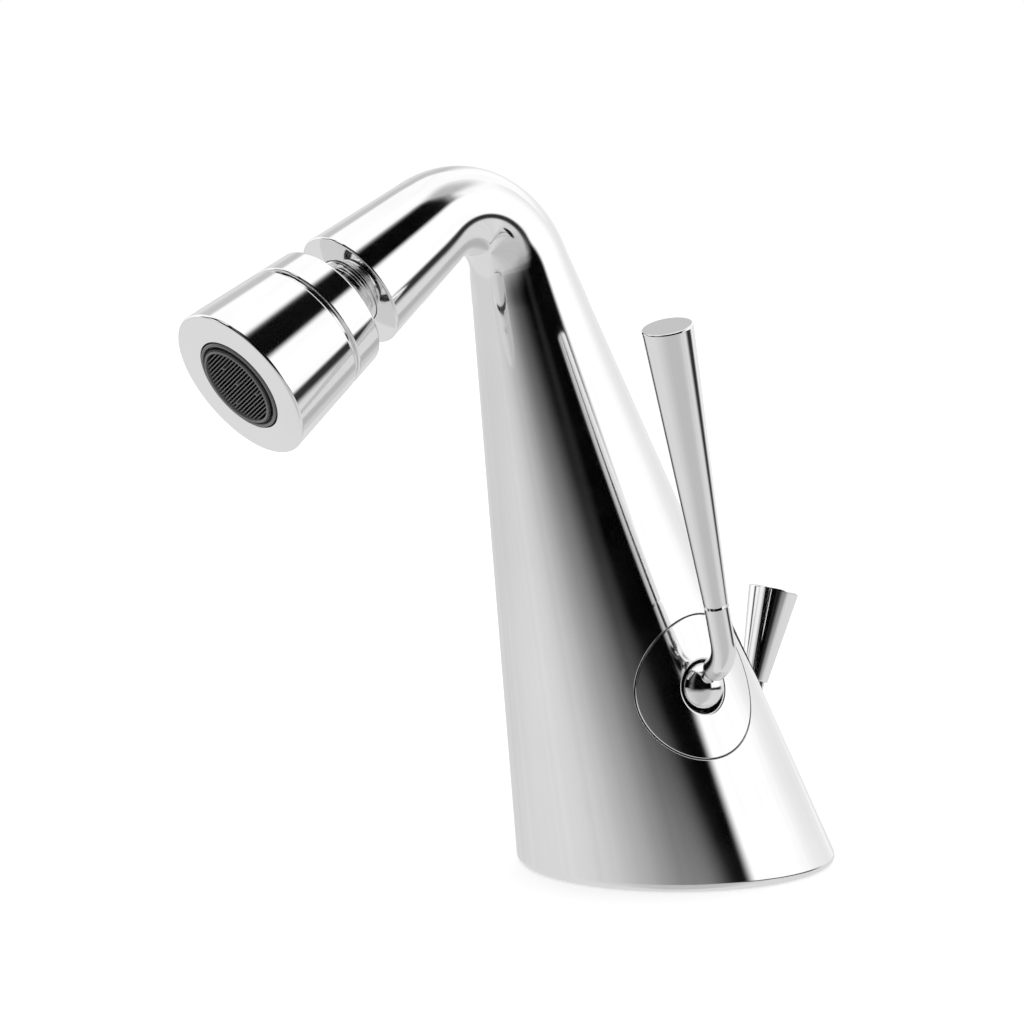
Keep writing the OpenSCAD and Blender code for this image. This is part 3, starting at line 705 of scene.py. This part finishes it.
# %% [markdown]
# ## The swivel head
# The head tips and turns on a ball at the end of a stepped neck that is screwed into the spout. It is a
# collar and a front barrel on the spout's flare, set off by a fine groove, with a flat face round the
# aerator. All three are turned brass with plating. One profile could hold them all, but the neck stays
# with the body when the head moves.

# %% The neck and its ball
bend_end = end_mid - spout_dir * spout_len
spout_place = Matrix.Translation(Vector(bend_end)) @ Matrix.Rotation(lean + bend_turn, 4, "X")


def at_spout(l):
    return spout_place @ Matrix.Translation((0, 0, l))


head_rear, ball_r, ball_in = 30.4 * mm, 7.5 * mm, 5.5 * mm
ball_at = head_rear + ball_in - spout_len
neck_bore, neck_tail = 2.6 * mm, -9 * mm
steps_out = in_mm((6.5, -9, 0.2), (6.5, -0.5, 0), (flange_r / mm, -0.5, 0), (flange_r / mm, 0.75, 0.3),
                  (6.3, 0.75, 0.1), (6.3, 1.75, 0.2), (5.6, 1.75, 0.1), (5.6, 2.25, 0.1),
                  (6.0, 2.25, 0.1), (6.0, 2.75, 0.1))
ball_arc = [(ball_r * np.sin(t), ball_at - ball_r * np.cos(t), 0) for t in np.radians(range(36, 160, 4))]
through = [(neck_bore, ball_arc[-1][1], 0), (neck_bore, neck_tail, 0)]
neck = turned("swivel_neck", through[1:] + steps_out + ball_arc + through, at_spout(spout_len), chrome)
print("neck:", len(neck.data.polygons), "faces")

# %% Collar and barrel
def flared(l):
    return spout_r + flare * l


head_face, collar_len = 57.7 * mm, 7.4 * mm
collar_end = head_rear + collar_len
barrel_len = head_face - collar_end
collar_bore, joint_r, face_bore, bore_len = 6.94 * mm, 10.4 * mm, 10.6 * mm, 6 * mm
groove_w, groove_r = 0.95 * mm, flared(collar_end) - 0.8 * mm
rim_edge, groove_edge = 0.6 * mm, 0.45 * mm
collar = turned("head_collar", [
    (collar_bore, 0.6 * mm, 0), (collar_bore, 0, 0.2 * mm), (flared(head_rear), 0, rim_edge),
    (flared(collar_end), collar_len, groove_edge), (joint_r, collar_len, 0)], at_spout(head_rear), chrome)
barrel = turned("head_barrel", [
    (joint_r, 0, 0), (groove_r, 0, 0), (groove_r, groove_w, 0.1 * mm),
    (flared(collar_end + groove_w), groove_w, groove_edge), (flared(head_face), barrel_len, rim_edge),
    (face_bore, barrel_len, 0.12 * mm), (face_bore, barrel_len - bore_len, 0)], at_spout(collar_end), chrome)
for piece, body, node in ((neck, "root", "swivel_nipple"), (collar, "head", "swivel_collar"),
                          (barrel, "head", "swivel_head")):
    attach(piece, body)
    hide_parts(node)
print("head pieces:", neck.name, collar.name, barrel.name)

# %% [markdown]
# ## The aerator
# A dark plastic insert sits in the head's face: a grey ring, a black core with a groove in it, and a grid
# of thin bars that stands a little proud in a rim. The core's black is partly its plastic's colour and
# partly painted shade in its groove. The ring, the core and the rim are turned. Each bar is a strip with a
# rounded back, because a plain box would show as a flat stripe, while real bars catch the light along their
# edges.

# %% Ring, core and rim
face_place = at_spout(head_face)
insert_ring = turned("aerator_ring", in_mm((9.55, -6, 0), (9.55, 0.3, 0.3), (10.3, 0.3, 0.35),
                                           (10.3, -6, 0)), face_place, grid_plastic)
# The core's black plastic also paints the shade on the groove's floor and inner wall
core = turned("aerator_core_and_groove_shade", in_mm((8.82, -6, 0), (8.82, 0.45, 0.08), (9.05, 0.45, 0.08), (9.05, -1.2, 0),
                                    (9.56, -1.2, 0), (9.56, -6, 0)), face_place, black_plastic)
proud = 0.8 * mm
rim = turned("grid_rim", [(8.3 * mm, -proud, 0), (8.3 * mm, proud, 0.14 * mm), (8.8 * mm, proud, 0.2 * mm),
                          (8.8 * mm, -proud, 0)], face_place, grid_plastic)
print("aerator:", insert_ring.name, core.name, rim.name)

# %% Bars with rounded backs
bar_w, bar_h, bar_pitch, bar_turn = 0.34 * mm, 1.24 * mm, 0.69 * mm, radians(25)
tie_w, grid_deep, grid_reach, outer_row = 0.5 * mm, 1.6 * mm, 8.4 * mm, 11
grid_place = at_spout(head_face + proud - grid_deep) @ Matrix.Rotation(bar_turn, 4, "Z")
# Outline of a bar's end: parts of its width and of its height
section = [(-0.5, 0.0), (-0.5, 0.8), (-0.38, 0.93), (-0.15, 1.0),
           (0.15, 1.0), (0.38, 0.93), (0.5, 0.8), (0.5, 0.0)]
bar_points, bar_faces = [], []


def strip(start, stop, width):
    """A bar from start to stop in the grid's plane, with a rounded back."""
    ahead = np.array(stop) - np.array(start)
    across = np.array([-ahead[1], ahead[0]]) / np.linalg.norm(ahead)
    first, n = len(bar_points), len(section)
    for end in (start, stop):
        for c, h in section:
            bar_points.append(grid_place @ Vector((*(np.array(end) + across * c * width), h * bar_h)))
    bar_faces.extend(quad(first, first + n, k, n, flip=True) for k in range(n))
    bar_faces.extend([tuple(range(first, first + n)), tuple(range(first + 2 * n - 1, first + n - 1, -1))])


for row in range(-outer_row, outer_row + 1):
    y = row * bar_pitch
    half = np.sqrt(grid_reach**2 - y**2)
    strip((-half, y), (half, y), bar_w)
for x, row in ((0.33, 6), (0.35, 0), (4.08, -6), (-5.59, -4)):
    strip((x * mm, row * bar_pitch), (x * mm, (row + 1) * bar_pitch), tie_w)
bars = mesh_piece("grid_bars", bar_points, bar_faces, grid_plastic)
for piece in (insert_ring, core, rim, bars):
    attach(piece, "head")
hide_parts("aerator_housing")
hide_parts("aerator_grid")
print("bars and ties:", len(bar_faces) // (len(section) + 2))

# %% [markdown]
# ## The lever
# A ball sits in the cover's hole, in the socket of the cartridge's rotor. A bent stem rises out of it, and
# a slim handle is screwed on top. The ball, the socket and the handle are turned. The stem could be a
# curve with a bevel, but it thickens at its shoulder, so it is a tube along a line, an arc and a line, as
# the real one is bent.

# %% Ball and socket
ball_sunk, lever_ball_r = 2.1 * mm, 5.4 * mm
ball_turn, socket_turn = radians(-100), radians(90)
ball_mid = tilted(np.array([[cone_radius(valve_s) - ball_sunk, 0, valve_s]]))[0]
lever_place = Matrix.Translation(Vector(ball_mid)) @ lean_turn
dome = [(lever_ball_r * np.sin(t), -lever_ball_r * np.cos(t), 0) for t in np.radians(range(0, 156, 4))]
tip_r, tip_at = 2.2 * mm, 14 * mm
tip_arc = [(tip_r * np.sin(t), tip_at - tip_r * np.cos(t), 0) for t in np.radians(range(48, 181, 12))]
ball = turned("lever_ball_turned", dome + in_mm((1.6, 5.2, 0.2)) + tip_arc,
              lever_place @ Matrix.Rotation(ball_turn, 4, "Y"), chrome)
socket = turned("rotor_socket", in_mm((5.75, -9, 0), (5.75, -1, 0.1), (5.45, -1, 0), (5.45, -9, 0)),
                lever_place @ Matrix.Rotation(socket_turn, 4, "Y"), black_plastic)
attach(socket, "rotor")
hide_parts("lever_rotor")
print("ball's middle at", (ball_mid / mm).round(1), "mm")

# %% The handle
stem_rise, lever_out = radians(36), radians(5.4)
lever_x, handle_rise = 10.3 * mm, 20 * mm
stem_way = np.array([np.cos(stem_rise), np.sin(stem_rise)])
handle_way = np.array([np.sin(lever_out), np.cos(lever_out)])
corner = lever_x / (np.cos(stem_rise) - np.tan(lever_out) * np.sin(stem_rise))
corner_at = corner * stem_way
elbow_top = (handle_rise - corner_at[1]) / np.cos(lever_out)
handle_place = (lever_place @ Matrix.Translation((corner_at[0], 0, corner_at[1]))
                @ Matrix.Rotation(lever_out, 4, "Y") @ Matrix.Translation((0, 0, elbow_top)))
handle = turned("lever_handle_turned", in_mm((0, 0.3, 0), (2.05, 0.3, 0), (2.05, 0.95, 0), (2.74, 0.95, 0.1),
                                             (5.5, 64.15, 0.4), (0, 64.15, 0)), handle_place, chrome)
print("handle's foot at", [round(c / mm, 1) for c in handle_place.translation], "mm")

# %% The bent stem
elbow_bend_r, elbow_turn = 8 * mm, np.pi / 2 - lever_out - stem_rise
leg = elbow_bend_r * np.tan(elbow_turn / 2)
arc_mid = corner_at - leg * stem_way + elbow_bend_r * np.array([-stem_way[1], stem_way[0]])
stem_r, elbow_r, sides = 1.8 * mm, 2.72 * mm, 64
stem_start, stem_over, shoulder_len, shoulder_back = 4 * mm, 0.3 * mm, 1.6 * mm, 1.5 * mm
shoulder_steps, arc_steps, top_steps = 12, 32, 12
shoulder = corner - leg - shoulder_back
path = [(stem_way * t, stem_rise, stem_r) for t in (stem_start, shoulder - shoulder_len)]
for a in np.radians(np.linspace(0, 90, shoulder_steps + 1)):
    r = stem_r + (elbow_r - stem_r) * np.sin(a)
    path.append((stem_way * (shoulder - shoulder_len * np.cos(a)), stem_rise, r))
for f in np.linspace(0, 1, arc_steps + 1):
    rise = stem_rise + elbow_turn * f
    path.append((arc_mid + elbow_bend_r * np.array([np.sin(rise), -np.cos(rise)]), rise, elbow_r))
arc_end = path[-1][0]
stem_end = corner_at + (elbow_top + stem_over) * handle_way
for f in np.linspace(0, 1, top_steps + 1)[1:]:
    path.append((arc_end + (stem_end - arc_end) * f, np.pi / 2 - lever_out, elbow_r))
print("stem rings:", len(path))

# %% Skin the stem
stem_points, stem_faces = [], []
for (x, w), rise, r in path:
    for a in np.arange(sides) * 2 * np.pi / sides:
        up = r * np.sin(a)
        at = (x - up * np.sin(rise), r * np.cos(a), w + up * np.cos(rise))
        stem_points.append(lever_place @ Vector(at))
last = (len(path) - 1) * sides
for start in range(0, last, sides):
    stem_faces += [quad(start, start + sides, k, sides, flip=True) for k in range(sides)]
stem_faces.append(tuple(range(last, last + sides))[::-1])
stem = mesh_piece("lever_stem", stem_points, stem_faces, chrome)
for piece, node in ((ball, "lever_ball"), (stem, "lever_elbow"), (handle, "lever_handle")):
    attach(piece, "lever")
    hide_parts(node)
print("stem:", len(stem.data.polygons), "faces")

# %% [markdown]
# ## The waste lift
# A thin rod comes out of the back of the cone and carries a flared knob that works the bidet's plug. Both
# are turned on the real object. A cylinder and a cone would do from afar, but the plated rims need their
# roundings.

# %% Rod and knob
rod_place = Matrix.Translation((0, rod_y, 0)) @ Matrix.Rotation(-rod_lean, 4, "X")
rod = turned("lift_rod_turned", in_mm((0, 7, 0), (2, 7, 0.3), (2, 17, 0), (rod_r / mm, 17, 0.2),
                                      (rod_r / mm, 52, 0.2), (0, 52, 0)), rod_place, chrome)
knob_top = 62.3 * mm
knob = turned("lift_knob_turned", in_mm((2.55, 40.5, 0), (3.15, 40.5, 0.2))
              + [(5.9 * mm, knob_top, 0.4 * mm), (0, knob_top, 0)], rod_place, chrome)
for piece, node in ((rod, "lift_rod"), (knob, "lift_knob")):
    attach(piece, "lift")
    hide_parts(node)
print("knob's top at", [round(c / mm, 1) for c in rod_place @ Vector((0, 0, knob_top))], "mm")

# %% [markdown]
# ## Floor and studio
# Chrome has no colour of its own: it shows the room. The mixer stands on a white sheet. There is a broad
# window of light on the right, a dark room behind the camera and to its left, and a pale ceiling. Big
# lamps could stand for these. A world painted by direction is simpler, and it stands still when the camera
# walks round the object.

# %% The floor
paper = bpy.data.materials.new("paper")
paper.use_nodes = True
nodes, links = paper.node_tree.nodes, paper.node_tree.links
sheet = nodes["Principled BSDF"]
sheet.inputs["Base Color"].default_value = (*grey(0.8), 1)
sheet.inputs["Roughness"].default_value = 0.9
sheet.inputs["Emission Color"].default_value = (*grey(0.5), 1)
links.new(nodes.new("ShaderNodeLightPath").outputs["Is Camera Ray"], sheet.inputs["Emission Strength"])
wide = 3
floor = mesh_piece("floor", [(-wide, -wide, 0), (wide, -wide, 0), (wide, wide, 0), (-wide, wide, 0)],
                   [(0, 1, 2, 3)], paper)
floor.visible_glossy = False
print("floor laid,", 2 * wide, "m across")

# %% A node group for a window with soft edges
edges = ("Left", "Right", "Low", "High")
soft = {edge: "Soft " + edge.lower() for edge in edges}
inputs = [("Azimuth", 0), ("Elevation", 0)]
inputs += [(edge, 0) for edge in edges] + [(name, 2) for name in soft.values()]
window, window_in, window_out = new_group("window_of_light", inputs, ["Mask"])
given = window_in.outputs


def soft_edge(value, edge, falling):
    """A smooth step of value at an edge, as many degrees to each side as the edge is soft."""
    low, high = window.nodes.new("ShaderNodeMath"), window.nodes.new("ShaderNodeMath")
    low.operation, high.operation = "SUBTRACT", "ADD"
    for node in (low, high):
        window.links.new(given[edge], node.inputs[0])
        window.links.new(given[soft[edge]], node.inputs[1])
    ramp = window.nodes.new("ShaderNodeMapRange")
    ramp.interpolation_type = "SMOOTHSTEP"
    window.links.new(given[value], ramp.inputs["Value"])
    window.links.new(low.outputs[0], ramp.inputs["From Min"])
    window.links.new(high.outputs[0], ramp.inputs["From Max"])
    ramp.inputs["To Min"].default_value, ramp.inputs["To Max"].default_value = (1, 0) if falling else (0, 1)
    return ramp.outputs["Result"]


product = soft_edge("Azimuth", "Left", falling=False)
others = (("Azimuth", "Right", True), ("Elevation", "Low", False), ("Elevation", "High", True))
for value, edge, falling in others:
    times = window.nodes.new("ShaderNodeMath")
    times.operation = "MULTIPLY"
    window.links.new(product, times.inputs[0])
    window.links.new(soft_edge(value, edge, falling), times.inputs[1])
    product = times.outputs[0]
window.links.new(product, window_out.inputs["Mask"])
print("group", window.name)

# %% Directions as azimuth and elevation
world = bpy.data.worlds.new("studio")
bpy.context.scene.world = world
world.use_nodes = True
nodes, links = world.node_tree.nodes, world.node_tree.links
nodes.clear()
heading = nodes.new("ShaderNodeTexCoord")
split = nodes.new("ShaderNodeSeparateXYZ")
links.new(heading.outputs["Generated"], split.inputs[0])


def world_math(operation, *values):
    """A sum in the world's nodes; each value is a number or another node's output."""
    node = nodes.new("ShaderNodeMath")
    node.operation = operation
    for socket, value in zip(node.inputs, values):
        if isinstance(value, (int, float)):
            socket.default_value = value
        else:
            links.new(value, socket)
    return node.outputs[0]


forward = world_math("MULTIPLY", split.outputs["Y"], -1)
azimuth = world_math("DEGREES", world_math("ARCTAN2", split.outputs["X"], forward))
elevation = world_math("DEGREES", world_math("ARCSINE", split.outputs["Z"]))
print("directions ready in", world.name)

# %% Panels of light and dark
# Left, right, low and high edge in degrees, how soft each of them is, and the brightness
panels = {
    "back wall": (-134, -93, -100, 46, 8, 12, 1, 4, 0.6),
    "back wall's foot": (-126, -93, -100, 26, 8, 12, 1, 9, 0.8),
    "horizon": (-140, -93, -10, 14, 6, 12, 3, 4, 0.72),
    "white sheet": (-400, 400, -100, -5, 1, 1, 1, 4, 0.76),
    "sheet, far off": (-120, 10, -17, -5, 10, 30, 4, 4, 0.69),
    "sheet's far side": (10, 110, -100, -5, 50, 20, 1, 4, 0.56),
    "dark room, left": (0, 75, -15.6, 74, 30, 20, 12, 7, 0.0),
    "dark room, far left": (-46, 10, 12, 72, 7, 14, 4, 6, 0.0),
    "dark room, near left": (-30, 10, -5, 20, 5, 14, 3, 6, 0.0),
    "dark flag": (-54, -42, -5, 14, 4, 4, 3, 3, 0.1),
    "small window": (-30, -8, 34, 66, 4, 4, 5, 5, 1.1),
    "dim ceiling": (112, 165, 50, 74, 3, 25, 6, 7, 0.55),
    "dark room, right": (54, 130, -9.5, 75, 20, 5, 5, 7, 0.0),
    "dark room, middle": (25, 118, -1, 74, 15, 4, 4, 7, 0.0),
    "window": (107.5, 185, -4, 39.5, 4.5, 35, 3.5, 4, 1.15),
    "corner, right": (165, 400, -4, 40, 22, 1, 3, 6, 0.86),
    "corner, left": (-400, -130, -4, 22, 1, 8, 3, 6, 0.88),
    "gap under the window": (100, 172, -13, -4.5, 15, 12, 2.5, 2, 0.03),
    "ceiling": (-400, 400, 78, 100, 1, 1, 5, 1, 1.15),
}
open_room = 1.1  # brightness where no panel stands
shade = None
for numbers in panels.values():
    panel = use(nodes, window)
    links.new(azimuth, panel.inputs["Azimuth"])
    links.new(elevation, panel.inputs["Elevation"])
    for edge, place, softness in zip(edges, numbers[:4], numbers[4:8]):
        panel.inputs[edge].default_value = place
        panel.inputs[soft[edge]].default_value = softness
    blend = nodes.new("ShaderNodeMix")
    blend.inputs["A"].default_value = open_room
    blend.inputs["B"].default_value = numbers[8]
    links.new(panel.outputs["Mask"], blend.inputs["Factor"])
    if shade is not None:
        links.new(shade, blend.inputs["A"])
    shade = blend.outputs["Result"]
print("panels in the studio:", len(panels))

# %% What the camera, the mirror and the paper see
streak_scale, streak_gain, streak_base, room_light = 0.12, 0.16, 0.92, 0.85
streaks = nodes.new("ShaderNodeTexNoise")
streaks.noise_dimensions = "1D"
streaks.inputs["Scale"].default_value = streak_scale
links.new(azimuth, streaks.inputs["W"])
streaky = world_math("MULTIPLY_ADD", streaks.outputs["Fac"], streak_gain, streak_base)
rays = nodes.new("ShaderNodeLightPath")
reflected = nodes.new("ShaderNodeBackground")
links.new(world_math("MULTIPLY", shade, streaky), reflected.inputs["Color"])
plain = nodes.new("ShaderNodeBackground")
plain.inputs["Color"].default_value = (1, 1, 1, 1)
links.new(world_math("MAXIMUM", rays.outputs["Is Camera Ray"], room_light), plain.inputs["Strength"])
choose = nodes.new("ShaderNodeMixShader")
links.new(rays.outputs["Is Glossy Ray"], choose.inputs[0])
links.new(plain.outputs[0], choose.inputs[1])
links.new(reflected.outputs[0], choose.inputs[2])
output = nodes.new("ShaderNodeOutputWorld")
links.new(choose.outputs[0], output.inputs["Surface"])
print("world ready")

# %% [markdown]
# ## The camera
# It stands to the right of the spout, at about the height of the bend, and looks slightly down. A short
# lens close by could frame the same view, but it would stretch the head, so the camera stands far off with
# a long lens.

# %% Place the camera
camera = bpy.data.objects.new("camera", bpy.data.cameras.new("camera"))
bpy.context.scene.collection.objects.link(camera)
bpy.context.scene.camera = camera
camera.data.lens, camera.data.sensor_width = 107.27, 36.0
camera.data.clip_start = 0.01
turn, lift = radians(51.048), radians(5.838)
camera.location = (0.51194, -0.460545, 0.1503)
back = Vector((np.sin(turn) * np.cos(lift), -np.cos(turn) * np.cos(lift), np.sin(lift)))
camera.rotation_euler = back.to_track_quat("Z", "Y").to_euler()
bpy.context.scene.view_settings.view_transform = "Standard"
print("camera at", [round(c, 3) for c in camera.location])
